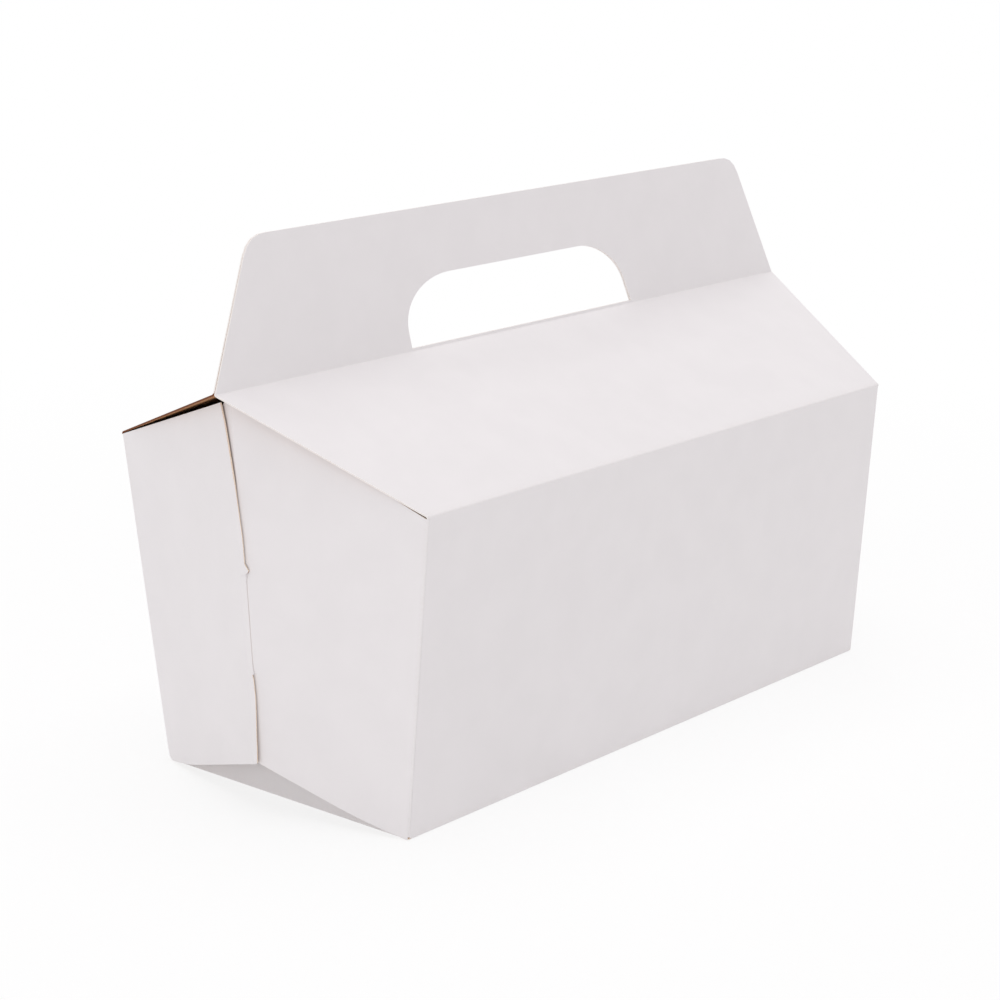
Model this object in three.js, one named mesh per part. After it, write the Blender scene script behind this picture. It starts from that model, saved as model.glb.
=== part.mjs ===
// A white paperboard takeout carton with a gable roof and a carrying handle, folded from one die-cut sheet.
// The tray holds the base, both long walls, the dust flaps and the end flaps, which lock by a tongue in a slit.
// Each half of the lid is a roof panel and a handle panel, and turns on the crease along its eave.
// Millimetres, +Z up, X along the ridge. The origin is the middle of the base, on its underside.
import * as THREE from "three";

// Board
const boardThickness = 0.5;
const creaseRadius = 0.9; // outside of a fold
const layerGap = 0.3; // between sheets that lie on each other
const roofGap = 0.6; // end flaps under the roof panels
const edgeStep = 0.4; // an edge that runs on from a crease stands back this far
const creaseStep = THREE.MathUtils.degToRad(15); // one flat of a rounded crease

// Tray
const length = 241;
const baseWidth = 99.8;
const eaveWidth = 124.8;
const wallHeight = 99.1;
const backwardRack = 7; // the eaves stand this far behind the middle of the base
const backEaveRise = 3.5; // the back wall stands up to here above the front one, on the same slant
const cornerRelief = 2.5; // rounded corners where base, wall and end flap meet

// Lid
const ridgeRise = 29.3; // ridge above the front eave
const ridgeLength = 286.2;
const handleHeight = 43.2;
const handleTopLength = 246.8;
const handleLean = 6.2; // the top of the handle stands this far behind the ridge
const handleCornerReach = 6.5;
const holeHeight = 22.3;
const holeBottom = 0.5; // above the ridge, clear of its crease
const holeFoot = { left: 57, right: 57.1 }; // its sides at the ridge's height, from the middle
const holeSideSlope = { left: 0.15, right: -0.37 }; // outwards for each millimetre up
const holeCornerRise = { left: 6, right: 8.3 }; // where the top corners begin to round
const holeCornerReach = { left: 24, right: 18.9 };
const holeCornerSteps = 8;

// End flaps
const prowReach = 17; // the seam at the ridge stands this far outside the eave's end
const prowTopDrop = 3; // height below the ridge at which prowReach is measured
const noseLift = 14.8; // bottom of the seam above the base plane
const lapTop = 87; // the back end flap bends round the seam up to here, where its free edge crosses it
const seamLap = 0.95; // the tongue's root on its lap, past the seam
const freeEdgeAbove = { past: 0.9, height: 79.6 }; // the lap's free edge above the tongue
const lockLobe = { past: 2.3, height: 75.2 }; // a small lobe that covers the slit's upper end
const freeEdgeBelow = { past: 1, height: 41.5 };
const peakStepBack = 4.3; // the free edge's upper end before the seam
const peakDrop = 1; // and this much lower under the roof than the flap's other end
const peakReach = 1;
const noseReach = 0.7;
const bottomBend = { front: 0.33, back: 0.23 }; // the bottom edges bend at this share of their length
const bottomBendDrop = { front: 1.3, back: 1.5 };
const lockBottom = 43;
const lockTop = 74;
const tongueShoulder = 0.5; // the tongue turns inwards this far past its root
const tongueSteepness = THREE.MathUtils.degToRad(60); // and crosses the front end flap at this angle
const tongueReach = 15; // its end, past the seam
const slitClearance = 0.25;
const tuckWidth = 12; // the front end flap's strip behind the back one
const tuckBottom = 24;
const tuckTop = 124;
const tuckTopDrop = 8; // its far corner stands lower, under the sloping roof

// Dust flaps, which fold up from the base inside the end flaps
const dustSetBack = 0.7;
const dustHeight = 42;
const dustSideGap = 1.5;
const dustTaper = 5;
const dustLean = THREE.MathUtils.degToRad(3);
const dustCornerRadius = 8;

const point = (x, y, z) => new THREE.Vector3(x, y, z);
const between = (a, b, share) => a.clone().lerp(b, share);

// The plane of a panel's white face. Its normal points to the inside of the carton.
function facePlane(a, b, c, inside) {
  const plane = new THREE.Plane().setFromCoplanarPoints(a, b, c);
  return plane.distanceToPoint(inside) < 0 ? plane.negate() : plane;
}

// The same plane moved towards the inside of the carton.
const sunk = (plane, depth) => new THREE.Plane(plane.normal.clone(), plane.constant - depth);

// The point where three planes meet.
function meeting(p, q, r) {
  const normals = new THREE.Matrix3().set(
    ...p.normal.toArray(),
    ...q.normal.toArray(),
    ...r.normal.toArray(),
  );
  return point(-p.constant, -q.constant, -r.constant).applyMatrix3(normals.invert());
}

const level = (z) => new THREE.Plane(point(0, 0, 1), -z);
const turnBetween = (p, q) => p.normal.angleTo(q.normal);

// A folded sheet: each corner of the blank is a pair of points, one on the white face and one on the brown.
class Sheet {
  whites = [];
  browns = [];
  triangles = [];
  places = new Map();

  corner(white, brown) {
    const key = [...white.toArray(), ...brown.toArray()].map((v) => Math.round(v * 1e3)).join();
    if (!this.places.has(key)) {
      this.places.set(key, this.whites.length);
      this.whites.push(white);
      this.browns.push(brown);
    }
    return this.places.get(key);
  }

  triangle(i, j, k, outwards) {
    const [a, b, c] = [i, j, k].map((index) => this.whites[index]);
    const facing = b.clone().sub(a).cross(c.clone().sub(a)).dot(outwards);
    this.triangles.push(facing > 0 ? [i, j, k] : [i, k, j]);
  }

  // A flat panel, given by the corners of its outline and of its holes.
  panel(plane, outline, holes = []) {
    const place = (p) => {
      const white = plane.projectPoint(p, point(0, 0, 0));
      return this.corner(white, white.clone().addScaledVector(plane.normal, boardThickness));
    };
    const x = outline[1].clone().sub(outline[0]).projectOnPlane(plane.normal).normalize();
    const y = plane.normal.clone().cross(x);
    const flat = (p) => new THREE.Vector2(p.dot(x), p.dot(y));
    const indices = [outline, ...holes].flat().map(place);
    const outwards = plane.normal.clone().negate();
    THREE.ShapeUtils.triangulateShape(
      outline.map(flat),
      holes.map((hole) => hole.map(flat)),
    ).forEach(([i, j, k]) => this.triangle(indices[i], indices[j], indices[k], outwards));
  }

  // A band of flat strips between two rows of pairs.
  band(rows, outwardsAt) {
    rows.slice(1).forEach((row, i) => {
      const [a, b] = rows[i].map((pair) => this.corner(...pair));
      const [c, d] = row.map((pair) => this.corner(...pair));
      this.triangle(a, b, c, outwardsAt(i));
      this.triangle(b, d, c, outwardsAt(i));
    });
  }

  // The round crease between two panels, along the line where their white faces meet, from a to b.
  crease(p, q, a, b, valley = false) {
    const turn = turnBetween(p, q);
    const steps = Math.max(2, Math.round(turn / creaseStep));
    const white = valley ? creaseRadius - boardThickness : creaseRadius;
    const brown = valley ? creaseRadius : creaseRadius - boardThickness;
    const inwards = valley ? -1 : 1;
    const axis = p.normal.clone().cross(q.normal).normalize();
    const toCentre = p.normal.clone().add(q.normal);
    toCentre.multiplyScalar((inwards * white) / (1 + Math.cos(turn)));
    const normalAt = (share) => p.normal.clone().applyAxisAngle(axis, turn * share);
    const rows = Array.from({ length: steps + 1 }, (_, i) => {
      const normal = normalAt(i / steps);
      return [a, b].map((end) => {
        const centre = end.clone().add(toCentre);
        return [white, brown].map((radius) => centre.clone().addScaledVector(normal, -inwards * radius));
      });
    });
    this.band(rows, (i) => normalAt((i + 0.5) / steps).negate());
  }

  solid() {
    const count = this.whites.length;
    const used = new Set(this.triangles.flatMap(([i, j, k]) => [`${i},${j}`, `${j},${k}`, `${k},${i}`]));
    const faces = [];
    for (const [i, j, k] of this.triangles) {
      faces.push(i, j, k, i + count, k + count, j + count);
      for (const [from, to] of [[i, j], [j, k], [k, i]]) {
        if (used.has(`${to},${from}`)) continue;
        faces.push(to, from, from + count, to, from + count, to + count);
      }
    }
    const positions = [...this.whites, ...this.browns].flatMap((corner) => corner.toArray());
    const geometry = new THREE.BufferGeometry();
    geometry.setAttribute("position", new THREE.Float32BufferAttribute(positions, 3));
    geometry.setIndex(faces);
    return geometry;
  }
}

// The middle of a rounded corner between two points of an outline.
function rounded(from, corner, to, steps = 3) {
  const curve = new THREE.QuadraticBezierCurve3(from, corner, to);
  return curve.getPoints(steps);
}

// A rounded corner of an outline, cut back by the same reach along both edges.
function roundCorner(before, corner, after, reach, steps = 3) {
  const from = corner.clone().add(before.clone().sub(corner).setLength(reach));
  const to = corner.clone().add(after.clone().sub(corner).setLength(reach));
  return rounded(from, corner, to, steps);
}

// Places
const middle = point(0, 0, wallHeight / 2);
const ridgeHeight = wallHeight + ridgeRise;
const baseY = { front: -baseWidth / 2, back: baseWidth / 2 };
const eaveY = { front: backwardRack - eaveWidth / 2, back: backwardRack + eaveWidth / 2 };
const eaveRise = { front: 0, back: backEaveRise };
const foot = (side, wall) => point((side * length) / 2, baseY[wall], 0);

// An eave's end: straight up the slant of its wall.
function eave(side, wall) {
  const slant = point(0, eaveY[wall] - baseY[wall], wallHeight);
  return foot(side, wall).addScaledVector(slant, 1 + eaveRise[wall] / wallHeight);
}

const ridgeEnd = (side) => point((side * ridgeLength) / 2, backwardRack, ridgeHeight);

const basePlane = new THREE.Plane(point(0, 0, 1), 0);
const wallPlane = (wall) => facePlane(foot(-1, wall), foot(1, wall), eave(1, wall), middle);
const roofPlane = (wall) => facePlane(eave(-1, wall), eave(1, wall), ridgeEnd(1), middle);

// The gap between a wall's top edge and its roof panel, so that the lid turns clear of the wall.
const eaveSetBack = (wall) =>
  boardThickness * Math.tan(turnBetween(wallPlane(wall), roofPlane(wall)) / 2) + layerGap / 2;

// The planes of an end. The back end flap lies outside, and bends round the seam onto its lap.
// The front one lies inside, and its tucked strip passes behind the back one.
function endPlanes(side) {
  const peak = point(side * (length / 2 + prowReach), backwardRack, ridgeHeight - prowTopDrop);
  const back = facePlane(foot(side, "back"), eave(side, "back"), peak, middle);
  const tuck = sunk(back, boardThickness + layerGap);
  const below = tuck.projectPoint(peak, point(0, 0, 0));
  const front = facePlane(foot(side, "front"), eave(side, "front"), below, middle);
  const lap = sunk(front, -(boardThickness + layerGap));
  return { back, tuck, front, lap };
}

// Where the end flaps stop below a roof panel.
const underRoof = (wall) => sunk(roofPlane(wall), boardThickness + roofGap);

// Directions at the seam: up along it, and forwards across it, in the plane of either end flap.
function seamFrame(side) {
  const { front, tuck } = endPlanes(side);
  const up = meeting(front, tuck, level(wallHeight)).sub(meeting(front, tuck, level(0))).normalize();
  const forwards = (plane) => {
    const across = up.clone().cross(plane.normal);
    return across.y > 0 ? across.negate() : across;
  };
  return { up, onBack: forwards(tuck), onFront: forwards(front) };
}

const seamPoint = (side, z) => meeting(endPlanes(side).front, endPlanes(side).tuck, level(z));

// A point beside the seam, moved forwards along the back or the front end flap.
const backPoint = (side, z, past) => seamPoint(side, z).addScaledVector(seamFrame(side).onBack, past);
const frontPoint = (side, z, past) => seamPoint(side, z).addScaledVector(seamFrame(side).onFront, past);

// The point where the back end flap bends round the seam, beside a height of the seam.
function bendPoint(side, z) {
  const { back, lap } = endPlanes(side);
  const slice = new THREE.Plane().setFromNormalAndCoplanarPoint(seamFrame(side).up, seamPoint(side, z));
  return meeting(back, lap, slice);
}

// The point of a plane beside a fold's end, where the round crease begins.
function besideFold(plane, other, end, radius = creaseRadius) {
  const toCentre = plane.normal.clone().add(other.normal);
  toCentre.multiplyScalar(radius / (1 + plane.normal.dot(other.normal)));
  return end.clone().add(toCentre).addScaledVector(plane.normal, -radius);
}

const acrossAt = (x) => new THREE.Plane(point(1, 0, 0), -x);

// The fold between the base and a wall stops short of the corners.
const baseFoldEnd = (side, wall) => point(side * (length / 2 - cornerRelief), baseY[wall], 0);

// The fold between a wall and its end flap, from above the corner up to the roof.
function endFold(side, wall) {
  const flap = endPlanes(side)[wall];
  const low = between(foot(side, wall), eave(side, wall), cornerRelief / wallHeight);
  const high = meeting(wallPlane(wall), flap, underRoof(wall));
  return { flap, low, high };
}

function dustPlane(side) {
  const fold = side * (length / 2 - dustSetBack);
  const top = fold + side * dustHeight * Math.tan(dustLean);
  return facePlane(point(fold, 0, 0), point(fold, 1, 0), point(top, 0, dustHeight), middle);
}

const dustFoldEnd = (side, y) => point(side * (length / 2 - dustSetBack), y, 0);

function addBase(sheet) {
  const half = baseWidth / 2 - dustSideGap;
  const wallEnd = (side, wall) => besideFold(basePlane, wallPlane(wall), baseFoldEnd(side, wall));
  const dustEnd = (side, y) => besideFold(basePlane, dustPlane(side), dustFoldEnd(side, y));
  sheet.panel(basePlane, [
    wallEnd(-1, "front"),
    wallEnd(1, "front"),
    dustEnd(1, -half),
    dustEnd(1, half),
    wallEnd(1, "back"),
    wallEnd(-1, "back"),
    dustEnd(-1, half),
    dustEnd(-1, -half),
  ]);
  for (const wall of ["front", "back"]) {
    sheet.crease(basePlane, wallPlane(wall), baseFoldEnd(-1, wall), baseFoldEnd(1, wall));
  }
}

function addDustFlap(sheet, side) {
  const plane = dustPlane(side);
  const foldHalf = baseWidth / 2 - dustSideGap;
  const topHalf = foldHalf - dustTaper;
  const at = (y, z) => meeting(plane, level(z), new THREE.Plane(point(0, 1, 0), -y));
  const low = [-foldHalf, foldHalf].map((y) => besideFold(plane, basePlane, dustFoldEnd(side, y)));
  const high = [at(topHalf, dustHeight), at(-topHalf, dustHeight)];
  sheet.crease(basePlane, plane, dustFoldEnd(side, -foldHalf), dustFoldEnd(side, foldHalf));
  sheet.panel(plane, [
    ...low,
    ...roundCorner(low[1], high[0], high[1], dustCornerRadius),
    ...roundCorner(high[0], high[1], low[0], dustCornerRadius),
  ]);
}

function addWall(sheet, wall) {
  const plane = wallPlane(wall);
  const up = eave(1, wall).sub(foot(1, wall)).normalize();
  const topEdge = eave(1, wall).addScaledVector(up, -eaveSetBack(wall));
  const eaveLine = new THREE.Plane().setFromNormalAndCoplanarPoint(up, topEdge);
  const sideAt = (side) => {
    const { flap, low, high } = endFold(side, wall);
    sheet.crease(plane, flap, low, high);
    const beside = [low, high].map((end) => besideFold(plane, flap, end));
    const along = beside[1].clone().sub(beside[0]).normalize();
    const top = new THREE.Ray(beside[0], along).intersectPlane(eaveLine, point(0, 0, 0));
    const start = besideFold(plane, basePlane, baseFoldEnd(side, wall));
    const corner = rounded(start, foot(side, wall), beside[0]);
    return [...corner, beside[1], top.add(point(-side * edgeStep, 0, 0))];
  };
  sheet.panel(plane, [...sideAt(1), ...sideAt(-1).reverse()]);
}

// A plane along the seam, square to the back end flap, at a distance before the seam.
function seamSlice(side, before) {
  const normal = seamFrame(side).onBack;
  return new THREE.Plane().setFromNormalAndCoplanarPoint(normal, backPoint(side, 0, -before));
}

// The section of a tongue through the middle of its board. X runs forwards from the seam
// along the front end flap, and Y inwards from that flap's white face.
function tongueSection() {
  const steep = new THREE.Vector2(Math.cos(tongueSteepness), Math.sin(tongueSteepness));
  const root = new THREE.Vector2(seamLap, -layerGap - boardThickness / 2);
  const dip = new THREE.Vector2(seamLap + tongueShoulder, root.y);
  const at = (depth) => dip.clone().addScaledVector(steep, (depth - dip.y) / steep.y);
  const landing = at(boardThickness + layerGap + boardThickness / 2);
  const end = new THREE.Vector2(tongueReach, landing.y);
  const halfSlit = boardThickness / 2 / steep.y + slitClearance;
  return {
    line: [root, dip, landing, end],
    slit: [at(0).x - halfSlit, at(boardThickness).x + halfSlit],
  };
}

function addTongue(sheet, side) {
  const { onFront } = seamFrame(side);
  const inward = endPlanes(side).front.normal;
  const { line } = tongueSection();
  const rows = line.map((at, i) => {
    const before = at.clone().sub(line[Math.max(i - 1, 0)]).normalize();
    const after = (line[i + 1] ?? at).clone().sub(at).normalize();
    const along = before.clone().add(after).normalize();
    const offset = new THREE.Vector2(-along.y, along.x);
    const widening = i > 0 && i < line.length - 1 ? new THREE.Vector2(-after.y, after.x).dot(offset) : 1;
    return [lockTop, lockBottom].map((z) =>
      [-1, 1].map((face) => {
        const p = at.clone().addScaledVector(offset, (face * boardThickness) / 2 / widening);
        return seamPoint(side, z).addScaledVector(onFront, p.x).addScaledVector(inward, p.y);
      }),
    );
  });
  sheet.band(rows, (i) => {
    const along = line[i + 1].clone().sub(line[i]);
    return onFront.clone().multiplyScalar(along.y).addScaledVector(inward, -along.x);
  });
}

// The bottom edge of an end flap runs low from the fold, and then straight up to the seam.
const bottomCorner = (corner, nose, wall) =>
  between(corner, nose, bottomBend[wall]).add(point(0, 0, -bottomBendDrop[wall]));

// The back end flap lies outside. Its lap bends round the seam, and the tongue on the lap enters the slit.
function addBackEndFlap(sheet, side) {
  const { flap, low, high } = endFold(side, "back");
  const { lap } = endPlanes(side);
  const wall = wallPlane("back");
  const corner = foot(side, "back");
  const folds = [low, high].map((end) => besideFold(flap, wall, end));
  const peak = meeting(flap, seamSlice(side, peakStepBack), sunk(underRoof("back"), peakDrop));
  const bends = [noseLift, lapTop].map((z) => bendPoint(side, z));
  const onFlap = bends.map((end) => besideFold(flap, lap, end));
  const onLap = bends.map((end) => besideFold(lap, flap, end));
  const bottom = bottomCorner(corner, onFlap[0], "back");
  sheet.panel(flap, [
    ...folds,
    ...roundCorner(folds[1], peak, onFlap[1], peakReach, 2),
    onFlap[1],
    onFlap[0],
    ...rounded(between(bottom, onFlap[0], 0.2), bottom, between(bottom, corner, 0.4)),
    ...rounded(between(corner, bottom, cornerRelief / 12), corner, folds[0]).slice(0, -1),
  ]);
  sheet.crease(flap, lap, bends[0], bends[1]);
  const below = frontPoint(side, freeEdgeBelow.height, freeEdgeBelow.past);
  const nose = frontPoint(side, noseLift, freeEdgeBelow.past);
  sheet.panel(lap, [
    onLap[1],
    frontPoint(side, freeEdgeAbove.height, freeEdgeAbove.past),
    frontPoint(side, lockLobe.height, lockLobe.past),
    frontPoint(side, lockTop, seamLap),
    frontPoint(side, lockBottom, seamLap),
    below,
    ...roundCorner(below, nose, onLap[0], noseReach, 2),
    onLap[0],
  ]);
  addTongue(sheet, side);
}

// The front end flap lies inside, with its slit beside the seam.
function addFrontEndFlap(sheet, side) {
  const { flap, low, high } = endFold(side, "front");
  const { tuck } = endPlanes(side);
  const wall = wallPlane("front");
  const corner = foot(side, "front");
  const folds = [low, high].map((end) => besideFold(flap, wall, end));
  const seamEnds = [tuckBottom, tuckTop].map((z) => seamPoint(side, z));
  const onFlap = seamEnds.map((end) => besideFold(flap, tuck, end));
  const onTuck = seamEnds.map((end) => besideFold(tuck, flap, end));
  // Above and below the tucked strip the free edge stands back a little from the seam's crease.
  const { up, onFront } = seamFrame(side);
  const freeEdge = new THREE.Ray(onFlap[0].clone().addScaledVector(onFront, edgeStep), up);
  const peak = freeEdge.intersectPlane(underRoof("front"), point(0, 0, 0));
  const nose = freeEdge.at((noseLift - freeEdge.origin.z) / up.z, point(0, 0, 0));
  const bottom = bottomCorner(corner, nose, "front");
  const { slit } = tongueSection();
  const slitEnds = [lockBottom - slitClearance, lockTop + slitClearance];
  sheet.panel(
    flap,
    [
      ...folds,
      ...roundCorner(folds[1], peak, onFlap[1], peakReach, 2),
      onFlap[1],
      onFlap[0],
      ...roundCorner(onFlap[0], nose, bottom, noseReach, 2),
      ...rounded(between(bottom, nose, 0.5), bottom, between(bottom, corner, 0.6)),
      ...rounded(between(corner, bottom, cornerRelief / 16), corner, folds[0]).slice(0, -1),
    ],
    [
      [
        frontPoint(side, slitEnds[0], slit[0]),
        frontPoint(side, slitEnds[0], slit[1]),
        frontPoint(side, slitEnds[1], slit[1]),
        frontPoint(side, slitEnds[1], slit[0]),
      ],
    ],
  );
  sheet.crease(flap, tuck, seamEnds[0], seamEnds[1]);
  const far = [backPoint(side, tuckTop - tuckTopDrop, -tuckWidth), backPoint(side, tuckBottom, -tuckWidth)];
  sheet.panel(tuck, [
    ...onTuck,
    ...roundCorner(onTuck[1], far[0], far[1], 5),
    ...roundCorner(far[0], far[1], onTuck[0], 5),
  ]);
}

function tray() {
  const sheet = new Sheet();
  addBase(sheet);
  addWall(sheet, "front");
  addWall(sheet, "back");
  for (const side of [-1, 1]) {
    addDustFlap(sheet, side);
    addFrontEndFlap(sheet, side);
    addBackEndFlap(sheet, side);
  }
  return sheet.solid();
}

// A handle's white face: it stands on the ridge, leans back, and leaves room for both boards.
function handlePlane(wall) {
  const out = wall === "front" ? -1 : 1;
  const low = point(0, backwardRack, ridgeHeight);
  const high = point(0, backwardRack + handleLean, ridgeHeight + handleHeight);
  const plane = facePlane(low, point(1, low.y, low.z), high, point(0, low.y - out * 100, low.z));
  return sunk(plane, -(boardThickness + layerGap / 2));
}

// The hand hole: a flat bottom just above the ridge's crease, nearly straight sides and wide round top corners.
function handHole(onHandle) {
  const quarter = Array.from({ length: holeCornerSteps + 1 }, (_, i) => (i * Math.PI) / 2 / holeCornerSteps);
  const half = (end, side) => {
    const at = (rise, inwards) => [side * (holeFoot[end] + holeSideSlope[end] * rise - inwards), rise];
    const low = holeCornerRise[end];
    const corner = quarter.map((angle) =>
      at(low + (holeHeight - low) * Math.sin(angle), holeCornerReach[end] * (1 - Math.cos(angle))),
    );
    return [at(holeBottom, 0), ...corner];
  };
  return [...half("right", 1), ...half("left", -1).reverse()].map(([x, rise]) => onHandle(x, rise));
}

// A roof panel and its handle panel, with the valley crease between them.
function lidHalf(wall) {
  const sheet = new Sheet();
  const roof = roofPlane(wall);
  const handle = handlePlane(wall);
  const foldEnd = (side) => meeting(roof, handle, acrossAt((side * ridgeLength) / 2));
  const valleyRadius = creaseRadius - boardThickness;
  const beside = (plane, other, side) =>
    besideFold(plane.clone().negate(), other.clone().negate(), foldEnd(side), valleyRadius);
  const handleUp = point(0, handleLean, handleHeight).normalize();
  const onHandle = (x, rise) => {
    const p = point(x, backwardRack, ridgeHeight).addScaledVector(handleUp, rise);
    return handle.projectPoint(p, point(0, 0, 0));
  };
  const top = (side) => onHandle((side * handleTopLength) / 2, handleHeight / handleUp.z);
  const roofUp = ridgeEnd(1).sub(eave(1, wall)).setX(0).normalize();
  const low = (side) => eave(side, wall).addScaledVector(roofUp, eaveSetBack(wall));
  sheet.panel(roof, [low(-1), low(1), beside(roof, handle, 1), beside(roof, handle, -1)]);
  sheet.crease(roof, handle, foldEnd(-1), foldEnd(1), true);
  const ends = [-1, 1].map((side) => beside(handle, roof, side));
  sheet.panel(
    handle,
    [
      ends[0],
      ends[1],
      ...roundCorner(ends[1], top(1), top(-1), handleCornerReach, 6),
      ...roundCorner(top(1), top(-1), ends[0], handleCornerReach, 6),
    ],
    [handHole(onHandle)],
  );
  return sheet.solid();
}

function meshOf(name, geometry, colour) {
  const material = new THREE.MeshStandardMaterial({ color: colour, roughness: 0.62, metalness: 0 });
  const mesh = new THREE.Mesh(geometry, material);
  mesh.name = name;
  return mesh;
}

const white = 0xefedee;
const carton = new THREE.Group();
carton.add(meshOf("tray", tray(), white));
carton.add(meshOf("front_lid", lidHalf("front"), white));
carton.add(meshOf("back_lid", lidHalf("back"), white));

export default carton;
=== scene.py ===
import math

import bpy
import numpy as np
from mathutils import Matrix


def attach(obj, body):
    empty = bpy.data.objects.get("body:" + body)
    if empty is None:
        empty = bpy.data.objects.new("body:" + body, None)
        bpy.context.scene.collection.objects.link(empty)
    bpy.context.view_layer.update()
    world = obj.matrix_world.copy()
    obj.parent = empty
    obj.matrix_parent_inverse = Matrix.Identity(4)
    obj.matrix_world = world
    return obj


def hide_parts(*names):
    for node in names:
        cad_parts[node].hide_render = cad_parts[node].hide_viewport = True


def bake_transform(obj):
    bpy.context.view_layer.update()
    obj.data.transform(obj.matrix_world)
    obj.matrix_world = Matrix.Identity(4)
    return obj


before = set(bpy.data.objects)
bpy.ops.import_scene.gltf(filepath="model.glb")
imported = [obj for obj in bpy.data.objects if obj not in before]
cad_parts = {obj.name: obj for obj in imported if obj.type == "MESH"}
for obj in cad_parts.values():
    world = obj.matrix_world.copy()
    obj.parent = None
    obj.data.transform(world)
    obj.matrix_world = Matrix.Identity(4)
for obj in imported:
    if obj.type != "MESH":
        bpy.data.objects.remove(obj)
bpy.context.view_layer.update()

# A white takeout carton folded from one blank, drawn in millimetres and turned to metres as each mesh is
# made. Every panel is a grid on the board's white face, and the board's thickness is added behind it.
metres = 0.001
walls = ("front", "back")
carton = {
    "length": 241.0,
    "baseWidth": 99.8,
    "eaveWidth": 124.8,
    "wallHeight": 99.1,
    "backwardRack": 7.0,  # how far the eaves stand behind the middle of the base
    "eaveRise": {"front": 0.0, "back": 3.5},  # how far a wall goes on above wallHeight, on the same slant
    "ridgeRise": 29.3,
    "ridgeLength": 286.2,
    "board": 0.5,
    "creaseRadius": 0.9,
    "cornerRelief": {"front": 1.05, "back": 3.2},  # board cut away at the foot of each corner
    "reliefLift": 0.2,  # how far above the foot the cut's curve turns
    "layerGap": 0.3,
    "handleGap": 0.04,  # the two handles lie pressed together
    "roofGap": 0.1,  # end flaps under the roof, beside their folds
}


def at(x, y, z):
    return np.array([x, y, z], float)


def unit(v):
    return v / np.linalg.norm(v)


# A plane is a normal that points into the carton and its distance from the origin.
def planeThrough(a, b, c, inside):
    normal = unit(np.cross(b - a, c - a))
    if normal @ (inside - a) < 0:
        normal = -normal
    return normal, normal @ a


def sunk(plane, depth):
    return plane[0], plane[1] + depth


def level(z):
    return at(0, 0, 1), z


def meet(p, q, r):
    return np.linalg.solve(np.stack([p[0], q[0], r[0]]), np.array([p[1], q[1], r[1]]))


def onto(plane, points):
    # each point moved along the normal until it lies on the plane
    return points + ((plane[1] - points @ plane[0])[..., None] * plane[0])


def even(count):
    return np.linspace(0, 1, count)


def segments(*marks):
    # evenly stepped runs between marks, given as mark, steps, mark, steps, mark
    spans = zip(marks[::2], marks[1::2], marks[2::2])
    return np.concatenate([*(np.linspace(a, b, n, endpoint=False) for a, n, b in spans), [marks[-1]]])


def along(a, b, shares):
    shares = np.asarray(shares, float)[:, None]
    return a * (1 - shares) + b * shares


def parabola(start, corner, end, steps):
    # leaves start towards the corner, and comes to end from it
    t = np.linspace(0, 1, steps + 1)[:, None]
    return (1 - t) ** 2 * start + 2 * t * (1 - t) * corner + t**2 * end


def roundedPath(corners, reaches, steps=8):
    # straight runs joined by parabolas that start and end one reach from each corner
    path = [corners[0][None]]
    for before, corner, after, reach in zip(corners, corners[1:], corners[2:], reaches):
        start = corner + unit(before - corner) * reach
        end = corner + unit(after - corner) * reach
        path.append(parabola(start, corner, end, steps))
    path.append(corners[-1][None])
    return np.concatenate(path)


def spacing(points):
    # running length along the points, from 0 to 1
    steps = np.linalg.norm(np.diff(points, axis=0), axis=1)
    return np.concatenate([[0], np.cumsum(steps)]) / steps.sum()


def resample(points, shares):
    t = spacing(points)
    return np.stack([np.interp(shares, t, points[:, axis]) for axis in range(3)], axis=1)


def coonsPatch(low, high, left, right):
    # the surface between four curves: both ruled surfaces added, less the one through the four corners
    u = ((spacing(low) + spacing(high)) / 2)[None, :, None]
    v = ((spacing(left) + spacing(right)) / 2)[:, None, None]
    ruledUp = (1 - v) * low[None] + v * high[None]
    ruledAcross = (1 - u) * left[:, None] + u * right[:, None]
    corners = (1 - v) * ((1 - u) * low[0] + u * low[-1]) + v * ((1 - u) * high[0] + u * high[-1])
    return ruledUp + ruledAcross - corners


def besideFold(plane, other, ends, radius):
    # where the round crease leaves the plane: back from the fold by radius times tan of half the turn
    toCentre = (plane[0] + other[0]) * radius / (1 + plane[0] @ other[0])
    return ends + toCentre - plane[0] * radius


def foldRows(p, q, ends, radius, steps=12, valley=False):
    # a round arc swept along the fold: its normal turns evenly from one plane's to the other's
    turn = math.acos(np.clip(p[0] @ q[0], -1, 1))
    angle = np.linspace(0, turn, steps + 1)[:, None]
    normal = (np.sin(turn - angle) * p[0] + np.sin(angle) * q[0]) / math.sin(turn)
    side = -1 if valley else 1
    centre = ends + side * (p[0] + q[0]) * radius / (1 + p[0] @ q[0])
    inwards = np.broadcast_to(normal[:, None], (steps + 1, *ends.shape))
    return centre[None] - side * radius * inwards, inwards


bulge = {"wall": 0.5, "flap": 0.3, "roof": 0.4}  # mm that the middle of a panel stands out


def swelling(grid, height):
    # a shallow outward swelling of a panel that its edges hold: the product of two half waves
    rows, columns = grid.shape[:2]
    v, u = np.meshgrid(even(rows), even(columns), indexing="ij")
    return height * np.sin(math.pi * u) * np.sin(math.pi * v)


def swollen(grid, inwards, height):
    return grid - swelling(grid, height)[..., None] * inwards


# The order of a board's materials. The cut edges of the handles have one of their own.
finishIndex = {"white": 0, "brown": 1, "edge": 2, "handleEdge": 3}


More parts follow.
